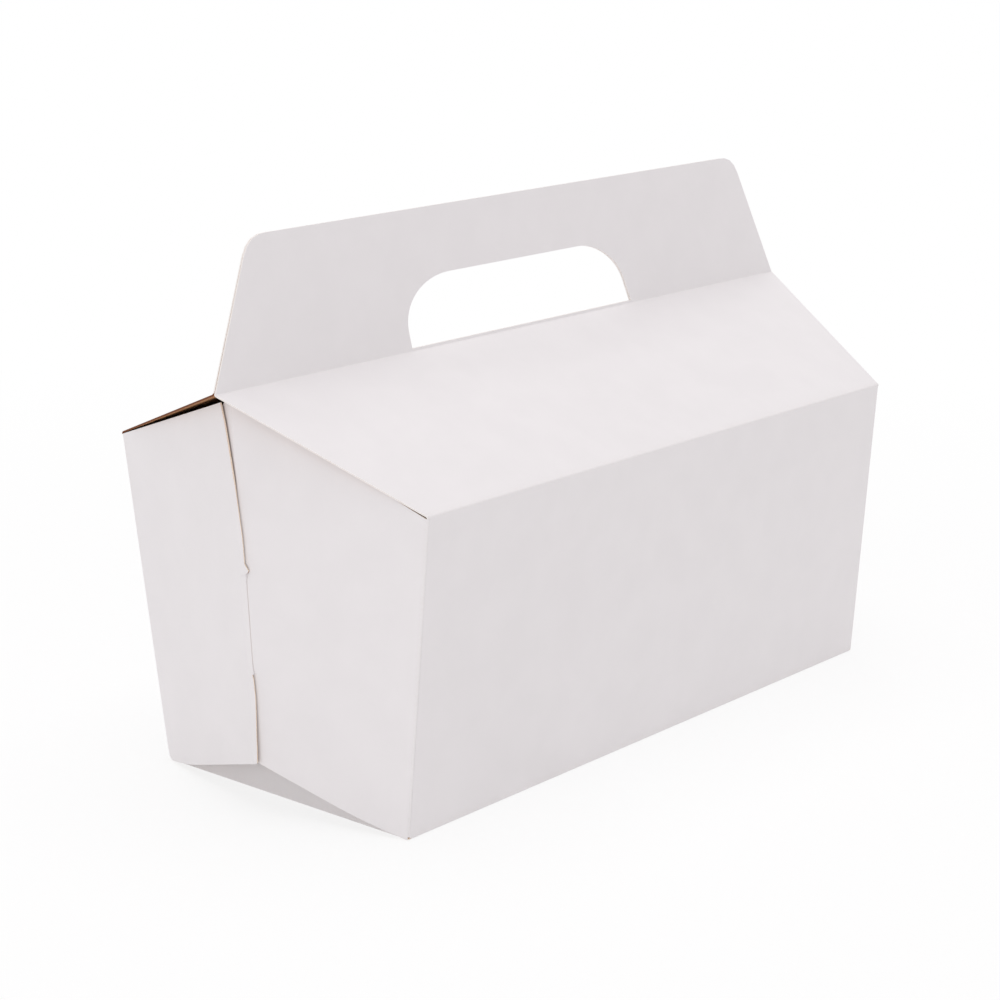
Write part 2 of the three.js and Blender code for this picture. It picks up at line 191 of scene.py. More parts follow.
class BlankPiece:
    # collects grids of the board's white face, and makes them one sheet: white face, brown face and cut edge
    def __init__(self):
        self.whites = []
        self.browns = []
        self.faces = []
        self.folds = []
        self.edges = []
        self.count = 0

    def add(self, grid, inwards, keep=None, fold=0.0, edge="edge"):
        rows, columns = grid.shape[:2]
        inwards = np.broadcast_to(inwards, grid.shape)
        index = np.arange(rows * columns).reshape(rows, columns) + self.count
        quads = np.stack([index[:-1, :-1], index[:-1, 1:], index[1:, 1:], index[1:, :-1]], axis=-1)
        upwards = grid[1:, :-1] - grid[:-1, :-1]
        onwards = grid[:-1, 1:] - grid[:-1, :-1]
        if (np.cross(onwards, upwards) * inwards[:-1, :-1]).sum() > 0:
            quads = quads[..., ::-1]
        if keep is not None:
            quads = quads[keep]
        self.whites.append(grid.reshape(-1, 3))
        self.browns.append((grid + inwards * carton["board"]).reshape(-1, 3))
        self.faces.append(quads.reshape(-1, 4))
        self.edges.append(np.full(len(self.faces[-1]), finishIndex[edge]))
        self.folds.append(np.full(rows * columns, float(fold)))
        self.count += rows * columns

    def build(self, name, materials):
        # corners that two grids share are the same corner of the blank
        whites = np.concatenate(self.whites)
        _, first, shared = np.unique(np.round(whites, 4), axis=0, return_index=True, return_inverse=True)
        shared = shared.reshape(-1)
        count = len(first)
        front = shared[np.concatenate(self.faces)]
        folds = np.zeros(count)
        np.maximum.at(folds, shared, np.concatenate(self.folds))
        # an edge that only one face has is a cut edge of the board
        starts, ends = front.reshape(-1), np.roll(front, -1, axis=1).reshape(-1)
        cut = ~np.isin(ends * count + starts, starts * count + ends) & (starts != ends)
        rim = np.stack([ends, starts, starts + count, ends + count], axis=1)[cut]
        faces = np.concatenate([front, front[:, ::-1] + count, rim])
        sheetFinish = np.repeat([finishIndex["white"], finishIndex["brown"]], len(front))
        rimFinish = np.repeat(np.concatenate(self.edges), 4)[cut]
        finish = np.concatenate([sheetFinish, rimFinish])
        points = np.concatenate([whites[first], np.concatenate(self.browns)[first]]) * metres
        mesh = bpy.data.meshes.new(name)
        mesh.from_pydata(points, [], faces.tolist())
        foldMark = mesh.attributes.new("fold", "FLOAT", "POINT")
        foldMark.data.foreach_set("value", np.tile(folds, 2).astype(np.float32))
        for material in materials:
            mesh.materials.append(material)
        mesh.polygons.foreach_set("material_index", finish.astype(np.int32))
        mesh.shade_smooth()
        mesh.set_sharp_from_angle(angle=math.radians(35))
        piece = bpy.data.objects.new(name, mesh)
        bpy.context.scene.collection.objects.link(piece)
        print(f"{name}: {len(faces)} faces, {cut.sum()} on cut edges")
        return piece


def linear(hexColour):
    # an sRGB hex colour as the linear values that a shader takes
    values = [int(hexColour[i : i + 2], 16) / 255 for i in (1, 3, 5)]
    return [v / 12.92 if v <= 0.04045 else ((v + 0.055) / 1.055) ** 2.4 for v in values] + [1]


def grey(value):
    return (value, value, value, 1)


def addNode(tree, kind, settings=(), links=()):
    node = tree.nodes.new(kind)
    for name, value in dict(settings).items():
        if name in node.inputs:
            node.inputs[name].default_value = value
        else:
            setattr(node, name, value)
    for name, source in dict(links).items():
        tree.links.new(source, node.inputs[name])
    return node


def mathNode(tree, operation, first, second):
    # each of the two is an output of another node, or a number
    node = addNode(tree, "ShaderNodeMath", {"operation": operation})
    for socket, value in zip(node.inputs, (first, second)):
        if isinstance(value, float):
            socket.default_value = value
        else:
            tree.links.new(value, socket)
    return node.outputs["Value"]


def objectPlace(tree):
    return addNode(tree, "ShaderNodeTexCoord").outputs["Object"]


def noise(tree, place, size, detail):
    # patches of about this many millimetres
    settings = {"Scale": 1 / (size * metres), "Detail": detail}
    return addNode(tree, "ShaderNodeTexNoise", settings, {"Vector": place}).outputs["Fac"]


def ramp(tree, source, stops):
    # colours by position along a factor
    node = addNode(tree, "ShaderNodeValToRGB", links={"Fac": source})
    elements = node.color_ramp.elements
    while len(elements) < len(stops):
        elements.new(0.5)
    for element, (position, colour) in zip(elements, stops):
        element.position = position
        element.color = colour
    return node.outputs["Color"]


def newMaterial(name):
    material = bpy.data.materials.new(name)
    material.use_nodes = True
    material.node_tree.nodes.clear()
    return material, material.node_tree


def addSurface(tree, spec, colour, height=None):
    links = {"Base Color": colour}
    if height is not None:
        relief = {"Strength": spec["bumpStrength"], "Distance": spec["bumpDepth"] * metres}
        bump = addNode(tree, "ShaderNodeBump", relief, {"Height": height})
        links["Normal"] = bump.outputs["Normal"]
    finish = {"Roughness": spec["roughness"], "IOR": spec["refraction"]}
    shader = addNode(tree, "ShaderNodeBsdfPrincipled", finish, links)
    addNode(tree, "ShaderNodeOutputMaterial", links={"Surface": shader.outputs["BSDF"]})


coatedFace = {
    "colour": "#EDEAEB",
    "cloudColour": "#EBE8E9",
    "wornColour": "#E6E0DE",  # coating stretched over a fold
    "cloudSize": 14.0,  # mm, patches where the coating is thinner
    "grainSize": 0.9,  # mm, the board's fibres under the coating, drawn coarse enough to show
    "wear": (0.05, 0.3),  # how much of a fold's colour is worn, between grain and grain
    "bumpStrength": 0.12,
    "bumpDepth": 0.04,  # mm
    "roughness": 0.46,
    "refraction": 1.5,
}


def clayCoatedBoard():
    # bleached clay coat, roll pressed: nearly even white with a low sheen and a faint cloud from the fibres
    spec = coatedFace
    material, tree = newMaterial("clayCoatedBoard")
    place = objectPlace(tree)
    clouds = noise(tree, place, spec["cloudSize"], detail=4.0)
    grain = noise(tree, place, spec["grainSize"], detail=3.0)
    cloudy = ramp(tree, clouds, [(0.35, linear(spec["cloudColour"])), (0.65, linear(spec["colour"]))])
    fold = addNode(tree, "ShaderNodeAttribute", {"attribute_name": "fold"}).outputs["Fac"]
    least, most = spec["wear"]
    wear = mathNode(tree, "MULTIPLY", fold, ramp(tree, grain, [(0.4, grey(least)), (0.7, grey(most))]))
    settings = {"data_type": "RGBA", "B": linear(spec["wornColour"])}
    colour = addNode(tree, "ShaderNodeMix", settings, {"Factor": wear, "A": cloudy})
    addSurface(tree, spec, colour.outputs["Result"], grain)
    return material


kraftFace = {
    "colour": "#A8764A",
    "darkFibre": "#8A5A33",
    "paleFibre": "#C29366",
    "fibreLength": 3.2,  # mm
    "fibreWidth": 0.5,  # mm, drawn coarser than real fibres so that they show
    "fibreBend": 0.6,
    "bumpStrength": 0.3,
    "bumpDepth": 0.06,  # mm
    "roughness": 0.85,
    "refraction": 1.45,
}


def uncoatedKraft():
    # unbleached kraft back: matt brown with short pale and dark fibres along the machine direction
    spec = kraftFace
    material, tree = newMaterial("uncoatedKraft")
    perFibre = [1 / (spec[size] * metres) for size in ("fibreLength", "fibreWidth", "fibreWidth")]
    stretched = addNode(tree, "ShaderNodeMapping", {"Scale": perFibre}, {"Vector": objectPlace(tree)})
    settings = {"Scale": 1.0, "Detail": 4.0, "Distortion": spec["fibreBend"]}
    fibres = addNode(tree, "ShaderNodeTexNoise", settings, {"Vector": stretched.outputs[0]}).outputs["Fac"]
    stops = {0.3: "darkFibre", 0.5: "colour", 0.75: "paleFibre"}
    colour = ramp(tree, fibres, [(position, linear(spec[key])) for position, key in stops.items()])
    addSurface(tree, spec, colour, fibres)
    return material


plyEdge = {"plySize": 0.35, "roughness": 0.9, "refraction": 1.45}  # size in mm
edgeColours = {
    "coreEdge": {"colour": "#F8EADA", "darkPly": "#ECD6BC"},
    "paleHighlightEdge": {"colour": "#F6F3F1", "darkPly": "#EFE8E2"},  # painted highlight: real cut edges painted near white, paler than the tray's, for how brightly the lids' edges are lit
    # painted shade: the back lid's cut edges beside its roof, painted dark brown for the shaded gap under its
    # rake
    "paintedShadeEdge": {"colour": "#7C4727", "darkPly": "#60331A"},
}


def dieCutEdge(name):
    # the board's plies where the die cut them, slightly fuzzy; the lids' edge colours are painted light: a
    # painted highlight, and painted shade on the back roof's edges
    colours = edgeColours[name]
    material, tree = newMaterial(name)
    fuzz = noise(tree, objectPlace(tree), plyEdge["plySize"], detail=3.0)
    colour = ramp(tree, fuzz, [(0.35, linear(colours["darkPly"])), (0.6, linear(colours["colour"]))])
    addSurface(tree, plyEdge, colour)
    return material


coated, kraft = clayCoatedBoard(), uncoatedKraft()
coreEdge, paleHighlightEdge, paintedShadeEdge = (dieCutEdge(name) for name in edgeColours)
boardFinish = {
    "tray": [coated, kraft, coreEdge],
    # painted highlight on every cut edge of the front lid
    "front": [coated, kraft, paleHighlightEdge, paleHighlightEdge],
    # painted shade on the back lid's roof edges, painted highlight on its handle's edges
    "back": [coated, kraft, paintedShadeEdge, paleHighlightEdge],
}
print("materials made")

halfLength = carton["length"] / 2
ridgeHeight = carton["wallHeight"] + carton["ridgeRise"]
layer = carton["board"] + carton["layerGap"]
outwards = {"front": -1, "back": 1}
baseY = {wall: outwards[wall] * carton["baseWidth"] / 2 for wall in walls}
eaveY = {wall: carton["backwardRack"] + outwards[wall] * carton["eaveWidth"] / 2 for wall in walls}
boxMiddle = at(0, 0, carton["wallHeight"] / 2)
basePlane = level(0)


def foot(side, wall):
    return at(side * halfLength, baseY[wall], 0)


def eave(side, wall):
    # straight up the slant of its wall
    slant = at(0, eaveY[wall] - baseY[wall], carton["wallHeight"])
    return foot(side, wall) + slant * (1 + carton["eaveRise"][wall] / carton["wallHeight"])


def ridgeEnd(side):
    return at(side * carton["ridgeLength"] / 2, carton["backwardRack"], ridgeHeight)


wallPlane = {wall: planeThrough(foot(-1, wall), foot(1, wall), eave(1, wall), boxMiddle) for wall in walls}
roofPlane = {wall: planeThrough(eave(-1, wall), eave(1, wall), ridgeEnd(1), boxMiddle) for wall in walls}
underRoof = {wall: sunk(roofPlane[wall], carton["board"] + carton["roofGap"]) for wall in walls}

# Heights are above the table, and what lies past the seam is on the front end flap.
endFlap = {
    "cornerRound": {"front": 0.95, "back": 3.0},
    "prowReach": 17.0,  # how far the seam stands outside the eave's end
    "prowTopDrop": 3.0,  # and how far under the ridge's height that is
    "noseLift": 15.5,
    "noseRound": {"front": 0.2, "back": 0.7},
    "noseShare": 1.6 / 60,  # of the back flap's bottom edge, kept for the columns that go round the nose
    "noseStep": 0.02,  # these columns start this share before it
    "firstRow": 1.5,  # the first row above the nose
    "lastRow": {"front": 126.0, "back": 123.0},  # before the rows are fitted to the roof
    "bendRadius": 1.3,  # of the back flap where it bends round the seam onto its lap
    "rootPast": 0.95,  # the tongue's root past the seam
    "aboveHeight": 76.8,  # the lock's curves in the free edge end here
    "lobeHeight": 74.7,  # a small lobe that covers the slit's upper end
    "belowHeight": 41.5,  # and begin here
    "freeEdge": {  # the lap's edge past the seam, by height
        15.5: 0.75, 36.0: 1.5, 41.5: 1.25, 43.0: 0.95, 74.0: 0.95, 74.7: 2.3,
        76.8: 1.1, 84.0: 1.05, 100.0: -0.05, 112.0: -1.9, 119.0: -3.1,
    },
    "peakStepBack": 4.1,  # the back flap's top corner lies this far behind the seam
    "peakDrop": {"front": 0.6, "back": 1.8},  # how far the top edges have sunk under the roof at the peak
    "lockBottom": 43.0,
    "lockTop": 74.0,
    "tongueShoulder": 0.35,  # how far the tongue goes on past its root before it dips
    "tongueSteepness": math.radians(78),  # of its dip through the slit
    "tongueReach": 15.0,
    "tongueRound": (0.25, 0.4),
    "slitNear": 1.25,  # the slit's two sides, past the seam
    "slitFar": 1.5,
    "tuckWidth": 12.0,
    "tuckBottom": 24.0,
    "tuckTop": 124.0,
    "tuckTaper": 5.0,  # the strip's far edge starts higher than its fold
    "tuckTopSink": 5.5,  # and ends deeper under the roof
    "bottomBend": {"front": 0.33, "back": 0.23},  # the bottom edges bend at this share of their length
    "bottomBendDrop": {"front": 1.3, "back": 1.5},
    "bottomRound": {"front": 11.0, "back": 7.0},
    "edgeLiftAbove": 0.25,  # mm that the free edge stands off at the peak, and below at the nose
    "edgeLiftBelow": 0.55,
    "edgeLiftReach": 28.0,
    "slitLift": 0.7,  # the tongue holds the front flap up beside the slit
    "slitLiftReach": 14.0,
    "slitLiftEase": 5.0,  # mm above and below the slit's ends
}


def endPlanes(side):
    prowX = side * (halfLength + endFlap["prowReach"])
    peak = at(prowX, carton["backwardRack"], ridgeHeight - endFlap["prowTopDrop"])
    back = planeThrough(foot(side, "back"), eave(side, "back"), peak, boxMiddle)
    tuck = sunk(back, layer)
    front = planeThrough(foot(side, "front"), eave(side, "front"), onto(tuck, peak), boxMiddle)
    return {"front": front, "back": back, "tuck": tuck, "lap": sunk(front, -layer)}


class Seam:
    # the line where the front end flap meets its own tucked strip, under the back end flap
    def __init__(self, side):
        self.planes = endPlanes(side)
        front, tuck = self.planes["front"], self.planes["tuck"]
        self.low = meet(front, tuck, level(0))
        self.up = unit(meet(front, tuck, level(carton["wallHeight"])) - self.low)
        self.onBack = self.forwards(tuck)
        self.onFront = self.forwards(front)
        self.turn = math.acos(front[0] @ tuck[0])

    def forwards(self, plane):
        across = np.cross(self.up, plane[0])
        return across if across[1] < 0 else -across

    def at(self, heights, past=0.0):
        # a point beside the seam, moved forwards along the back end flap
        heights, past = np.broadcast_arrays(np.asarray(heights, float), past)
        points = self.low + self.up * (heights / self.up[2])[..., None]
        return points + self.onBack * np.asarray(past)[..., None]

    def slice(self, past):
        # the plane along the seam and square to the back end flap
        return self.onBack, self.onBack @ self.at(0, past)

    def wrapped(self, flat):
        # a sheet in the back flap's plane, rolled round the bend onto the lap: an arc, then straight on
        back, lap = self.planes["back"], self.planes["lap"]
        radius = endFlap["bendRadius"]
        bend = meet(back, lap, (self.up, self.up @ self.low))
        past = (flat - bend) @ self.onBack + radius * math.tan(self.turn / 2)
        start = flat - past[..., None] * self.onBack
        angle = np.clip(past / radius, 0, self.turn)
        rest = np.where(past > 0, past - radius * angle, past)
        forwards = radius * np.sin(angle) + rest * np.cos(angle)
        inwards = radius * (1 - np.cos(angle)) + rest * np.sin(angle)
        normal = np.cos(angle)[..., None] * back[0] - np.sin(angle)[..., None] * self.onBack
        return start + forwards[..., None] * self.onBack + inwards[..., None] * back[0], normal


def baseFold(side, wall):
    return at(side * (halfLength - carton["cornerRelief"][wall]), baseY[wall], 0)


wallColumns = even(61)
flapColumns = even(61)
dust = {
    "setBack": 0.0,
    "height": 42.0,
    "sideGap": 1.5,
    "taper": 5.0,
    "lean": math.radians(3),
    "cornerRound": 8.0,
    "cornerCurve": 7.9,  # leaves a short straight run at each end of the top edge's curves
}


def dustPlane(side):
    x = side * (halfLength - dust["setBack"])
    top = x + side * dust["height"] * math.tan(dust["lean"])
    return planeThrough(at(x, 0, 0), at(x, 1, 0), at(top, 0, dust["height"]), boxMiddle)


def addBase(piece):
    radius = carton["creaseRadius"]
    half = carton["baseWidth"] / 2 - dust["sideGap"]
    across = along(at(0, -half, 0), at(0, half, 0), even(21))
    edges = {}
    for wall in walls:
        ends = along(baseFold(-1, wall), baseFold(1, wall), wallColumns)
        rows, inwards = foldRows(basePlane, wallPlane[wall], ends, radius)
        piece.add(rows, inwards, fold=1)
        edges[wall] = rows[0]
    sides = {}
    for side in (-1, 1):
        plane = dustPlane(side)
        line = across + at(side * (halfLength - dust["setBack"]), 0, 0)
        rows, inwards = foldRows(basePlane, plane, line, radius)
        piece.add(rows, inwards, fold=1)
        corner = 0 if side < 0 else -1
        sides[side] = np.concatenate([edges["front"][corner][None], rows[0], edges["back"][corner][None]])
        addDustFlap(piece, plane, rows[-1])
    grid = coonsPatch(edges["front"], edges["back"], sides[-1], sides[1])
    piece.add(grid, basePlane[0])


def addDustFlap(piece, plane, foldRow):
    topHalf = carton["baseWidth"] / 2 - dust["sideGap"] - dust["taper"]
    corners = [meet(plane, level(dust["height"]), (at(0, 1, 0), y)) for y in (-topHalf, topHalf)]
    sides = list(zip((foldRow[0], foldRow[-1]), corners))
    stops = [corner + unit(low - corner) * dust["cornerRound"] for low, corner in sides]
    top = roundedPath([stops[0], *corners, stops[1]], [dust["cornerCurve"]] * 2)
    high = resample(top, even(len(foldRow)))
    left, right = (along(low, stop, even(15)) for (low, _), stop in zip(sides, stops))
    piece.add(coonsPatch(foldRow, high, left, right), plane[0])


def flapRows(wall):
    # heights of the rows along the seam, with a row at each end of the tongue, the slit and the tucked strip
    e = endFlap
    start, last = e["noseLift"] + e["firstRow"], e["lastRow"][wall]
    bottom, top = e["lockBottom"], e["lockTop"]
    if wall == "back":
        toLock = (start, 8, e["belowHeight"], 1)
        return segments(*toLock, bottom, 12, top, 1, e["lobeHeight"], 2, e["aboveHeight"], 18, last)
    return segments(start, 3, e["tuckBottom"], 7, bottom, 13, top, 14, e["tuckTop"], 2, last)


def foldEnds(side, wall):
    # of the corner fold between a wall and its end flap
    share = carton["cornerRelief"][wall] / carton["wallHeight"]
    low = foot(side, wall) + (eave(side, wall) - foot(side, wall)) * share
    high = meet(wallPlane[wall], endPlanes(side)[wall], underRoof[wall])
    return low, high


def shares(heights):
    return (heights - heights[0]) / (heights[-1] - heights[0])


def bottomCorner(corner, nose, wall):
    # an end flap's bottom edge runs low from the fold, and then straight up to the seam
    return corner + (nose - corner) * endFlap["bottomBend"][wall] - at(0, 0, endFlap["bottomBendDrop"][wall])


def peakUnder(seam, wall):
    # the end of a flap's top edge at the seam
    past = -endFlap["peakStepBack"] if wall == "back" else 0
    depth = carton["board"] + carton["roofGap"] + endFlap["peakDrop"][wall]
    return meet(seam.planes[wall], seam.slice(past), sunk(roofPlane[wall], depth))


def addWall(piece, wall):
    radius = carton["creaseRadius"]
    plane = wallPlane[wall]
    sideRows = {}
    for side in (-1, 1):
        low, high = foldEnds(side, wall)
        line = along(low, high, shares(flapRows(wall)))
        rows, inwards = foldRows(plane, endPlanes(side)[wall], line, radius)
        piece.add(rows, inwards, fold=1)
        sideRows[side] = rows
    # the wall ends where the crease of its eave begins, and one radius inside the corner folds
    top = besideFold(plane, roofPlane[wall], along(eave(-1, wall), eave(1, wall), wallColumns), radius)
    corner = {side: top[0 if side < 0 else -1] - at(side * radius, 0, 0) for side in (-1, 1)}
    baseLine = along(baseFold(-1, wall), baseFold(1, wall), wallColumns)
    bottomRow = besideFold(plane, basePlane, baseLine, radius)
    left, right = (np.concatenate([sideRows[s][0], corner[s][None]]) for s in (-1, 1))
    relief = {}
    for side in (-1, 1):
        turn = onto(plane, foot(side, wall) + at(0, 0, carton["reliefLift"]))
        relief[side] = parabola(sideRows[side][0][0], turn, bottomRow[0 if side < 0 else -1], steps=6)
    low = np.concatenate([relief[-1][:-1], bottomRow, relief[1][::-1][1:]])
    highShares = np.interp(low[:, 0], [low[0, 0], low[-1, 0]], [0, 1])
    high = along(corner[-1], corner[1], highShares)
    grid = coonsPatch(low, high, left, right)
    piece.add(swollen(grid, plane[0], bulge["wall"]), plane[0])
    return sideRows


def easedLift(share, height):
    return np.clip(share, 0, 1) ** 1.3 * height


def fading(grid, reach):
    # 1 at a grid's last column and 0 one reach away from it
    away = np.linalg.norm(grid - grid[:, -1:], axis=2)
    return np.clip(1 - away / reach, 0, 1) ** 2


def freeEdgeLift(grid, peakHeight):
    # the free edge stands off a little towards the peak and the nose
    e = endFlap
    tall = grid[:, -1:, 2]
    above = easedLift((tall - e["aboveHeight"]) / (peakHeight - e["aboveHeight"]), e["edgeLiftAbove"])
    below = easedLift((e["belowHeight"] - tall) / (e["belowHeight"] - e["noseLift"]), e["edgeLiftBelow"])
    return (above + below) * fading(grid, e["edgeLiftReach"])


def addBackFlap(piece, side, foldRow):
    # drawn flat in its plane, with the lap, then rolled round the bend at the seam
    e = endFlap
    seam = Seam(side)
    plane = seam.planes["back"]
    heights = flapRows("back")
    peak = peakUnder(seam, "back")
    stretch = heights.copy()
    upper = heights > e["aboveHeight"]
    stretch[upper] = np.interp(heights[upper], [e["aboveHeight"], heights[-1]], [e["aboveHeight"], peak[2]])
    toBend = layer * math.tan(seam.turn / 2)
    pasts = [past + 2 * toBend for past in e["freeEdge"].values()] + [-e["peakStepBack"]]
    edge = np.interp(stretch, [*e["freeEdge"], peak[2]], pasts)
    free = onto(plane, seam.at(stretch, edge))
    free[-1] = peak
    nose = onto(plane, seam.at(e["noseLift"], pasts[0]))
    corner = onto(plane, foot(side, "back"))
    outline = [foldRow[0], corner, bottomCorner(corner, nose, "back"), nose, free[0]]
    path = roundedPath(outline, [e[name]["back"] for name in ("cornerRound", "bottomRound", "noseRound")])
    # narrow columns towards the seam, and the last four of the bottom edge closer still, round the nose
    columns = segments(0.0, 24, 0.85, 26, 1.0)
    wholeShare = 1 - e["noseShare"]
    low = resample(path, columns * wholeShare)
    low[-4:] = resample(path, np.linspace(wholeShare - e["noseStep"], 1, 5))[1:]
    high = along(foldRow[-1], peak, columns)
    grid = coonsPatch(low, high, foldRow, free)
    lift = swelling(grid, bulge["flap"]) + freeEdgeLift(grid, peak[2])
    rolled, normal = seam.wrapped(grid)
    piece.add(rolled - lift[..., None] * normal, normal)
    locked = (heights >= e["lockBottom"]) & (heights <= e["lockTop"])
    addTongue(piece, seam, rolled[locked, -1])


def addTongue(piece, seam, root):
    # the tongue's white face: on past the root, down through the slit, then along behind the front end flap
    e = endFlap
    dip = np.array([e["tongueShoulder"], 0.0])
    landing = dip + np.array([2 * layer / math.tan(e["tongueSteepness"]), 2 * layer])
    end = np.array([e["tongueReach"] - e["rootPast"], 2 * layer])
    line = roundedPath([0 * dip, dip, landing, end], e["tongueRound"], steps=5)
    line = np.concatenate([line[:-1], along(line[-2], line[-1], even(9))[1:]])
    inward = seam.planes["front"][0]
    grid = root[:, None] + line[None, :, :1] * seam.onFront + line[None, :, 1:] * inward
    step = np.gradient(line, axis=0)
    step[0] = line[1] - line[0]
    step /= np.linalg.norm(step, axis=1)[:, None]
    piece.add(grid, (-step[:, 1:] * seam.onFront + step[:, :1] * inward)[None])


def slitLift(grid, heights):
    # beside the slit the tongue pushes the flap outwards: full at the slit, and gone past its ends
    e = endFlap
    inside = np.minimum(heights - e["lockBottom"], e["lockTop"] - heights) / e["slitLiftEase"]
    ends = np.clip(inside, -1, 1)[:, None]
    eased = np.sin(math.pi / 4 * (1 + ends)) ** 2 * (ends > -1)
    return e["slitLift"] * fading(grid, e["slitLiftReach"]) * eased


def addTuckedStrip(piece, seam, foldLine):
    # from its fold along the seam to its far edge behind the back end flap
    e = endFlap
    radius = carton["creaseRadius"]
    plane, tuck = seam.planes["front"], seam.planes["tuck"]
    line = foldLine - besideFold(plane, tuck, at(0, 0, 0), radius)
    rows, inwards = foldRows(plane, tuck, line, radius, steps=4)
    piece.add(rows, inwards, fold=1)
    low = seam.at(e["tuckBottom"] + e["tuckTaper"], -e["tuckWidth"])
    high = meet(tuck, seam.slice(-e["tuckWidth"]), sunk(underRoof["back"], e["tuckTopSink"]))
    far = along(low, high, even(rows.shape[1]))
    low, high = (along(rows[-1][i], far[i], even(5)) for i in (0, -1))
    piece.add(coonsPatch(low, high, rows[-1], far), tuck[0])


def addFrontFlap(piece, side, foldRow):
    # a panel up to the slit's far side, a strip with the slit in it, and the rest up to the seam
    e = endFlap
    seam = Seam(side)
    plane = seam.planes["front"]
    heights = flapRows("front")
    tuckFirst, tuckLast = (int(np.flatnonzero(heights == e[name])[0]) for name in ("tuckBottom", "tuckTop"))
    nose = seam.at(e["noseLift"])
    corner = foot(side, "front")
    bottom = bottomCorner(corner, nose, "front")

    def edgePlane(start, way):
        # through the line and square to the flap
        across = np.cross(plane[0], way)
        return across, across @ start

    bottomEdge = edgePlane(bottom, nose - bottom)
    topEdge = edgePlane(foldRow[-1], peakUnder(seam, "front") - foldRow[-1])

    def lineAt(start):
        # a line beside the seam, from the flap's bottom edge to the roof
        beside = edgePlane(start, seam.up)
        points = start + seam.up * ((heights - start[2]) / seam.up[2])[:, None]
        lowest, highest = (meet(plane, end, beside) for end in (bottomEdge, topEdge))
        points[: tuckFirst + 1] = along(lowest, points[tuckFirst], even(tuckFirst + 1))
        points[tuckLast:] = along(points[tuckLast], highest, even(len(heights) - tuckLast))
        return points

    farSide = lineAt(seam.low + seam.onFront * e["slitFar"])
    nearSide = lineAt(seam.low + seam.onFront * e["slitNear"])
    edge = lineAt(besideFold(plane, seam.planes["tuck"], seam.low, carton["creaseRadius"]))

    reaches = [e[name]["front"] for name in ("cornerRound", "bottomRound")]
    low = resample(roundedPath([foldRow[0], corner, bottom, farSide[0]], reaches), flapColumns)
    grid = coonsPatch(low, along(foldRow[-1], farSide[-1], flapColumns), foldRow, farSide)
    lift = slitLift(grid, heights) + swelling(grid, bulge["flap"])
    # above and below the slit this panel and the strip past it are one
    besideSlit = (heights > e["lockBottom"]) & (heights < e["lockTop"])
    lift[~besideSlit, -1] = 0
    piece.add(grid - lift[..., None] * plane[0], plane[0])
    strip = coonsPatch(*(along(farSide[i], nearSide[i], even(2)) for i in (0, -1)), farSide, nearSide)
    slitStep = (heights[:-1] >= e["lockBottom"]) & (heights[1:] <= e["lockTop"])
    piece.add(strip, plane[0], keep=~slitStep[:, None])
    noseCurve = roundedPath([nearSide[0], onto(plane, nose), edge[0]], [e["noseRound"]["front"]])
    low = resample(noseCurve, even(7))
    piece.add(coonsPatch(low, along(nearSide[-1], edge[-1], even(7)), nearSide, edge), plane[0])
    addTuckedStrip(piece, seam, edge[tuckFirst:])


trayPiece = BlankPiece()
addBase(trayPiece)
for wall, addFlap in (("front", addFrontFlap), ("back", addBackFlap)):
    sideRows = addWall(trayPiece, wall)
    for side in (-1, 1):
        addFlap(trayPiece, side, sideRows[side][-1])
trayBoard = trayPiece.build("tray_board", boardFinish["tray"])
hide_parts("tray")
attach(trayBoard, "tray")

# Rises are up the handle from the ridge.
handle = {
    "height": 43.2,
    "topLength": 246.8,
    "lean": 6.2,
    "cornerReach": 6.5,
    "cornerCurve": 6.45,  # leaves a short straight run at each end of the top's curves
}
handHole = {
    "bottom": 0.5,
    "height": 22.3,
    # of its two sides, left and right
    "foot": (57.0, 57.1),  # from the middle, at the ridge's height
    "slope": (0.15, -0.37),  # outwards for each millimetre up
    "cornerRise": (6.0, 8.3),  # where the top corners begin to round
    "cornerReach": (24.0, 18.9),
}
gripUp = unit(at(0, handle["lean"], handle["height"]))


def handlePlane(wall):
    low = at(0, carton["backwardRack"], ridgeHeight)
    inside = low - at(0, outwards[wall] * 100, 0)
    plane = planeThrough(low, low + at(1, 0, 0), low + gripUp, inside)
    return sunk(plane, -(carton["board"] + carton["handleGap"] / 2))


def onGrip(grip, x, rise):
    x, rise = np.broadcast_arrays(np.asarray(x, float), rise)
    points = np.stack([x, 0 * x + carton["backwardRack"], 0 * x + ridgeHeight], axis=-1)
    return onto(grip, points + gripUp * rise[..., None])


def holeSide(footHalf, slope, corner, reach):
    # out = foot + slope * rise - reach * (1 - cos sweep), rise = corner + (height - corner) * sin sweep
    sweep = np.linspace(0, math.pi / 2, 17)
    straight = np.linspace(handHole["bottom"], corner, 4, endpoint=False)
    rise = np.concatenate([straight, corner + (handHole["height"] - corner) * np.sin(sweep)])
    inwards = np.concatenate([0 * straight, reach * (1 - np.cos(sweep))])
    return footHalf + slope * rise - inwards, rise


sideKeys = ("foot", "slope", "cornerRise", "cornerReach")
holeSides = [holeSide(*(handHole[key][side] for key in sideKeys)) for side in (0, 1)]
besideHole, overHole = 24, 25  # columns


def across(hole, edge):
    # columns left of the hole, over it and right of it
    return segments(-edge, besideHole, -hole[0], overHole, hole[1], besideHole, edge)


ridgeX = across([out[0] for out, _ in holeSides], carton["ridgeLength"] / 2)


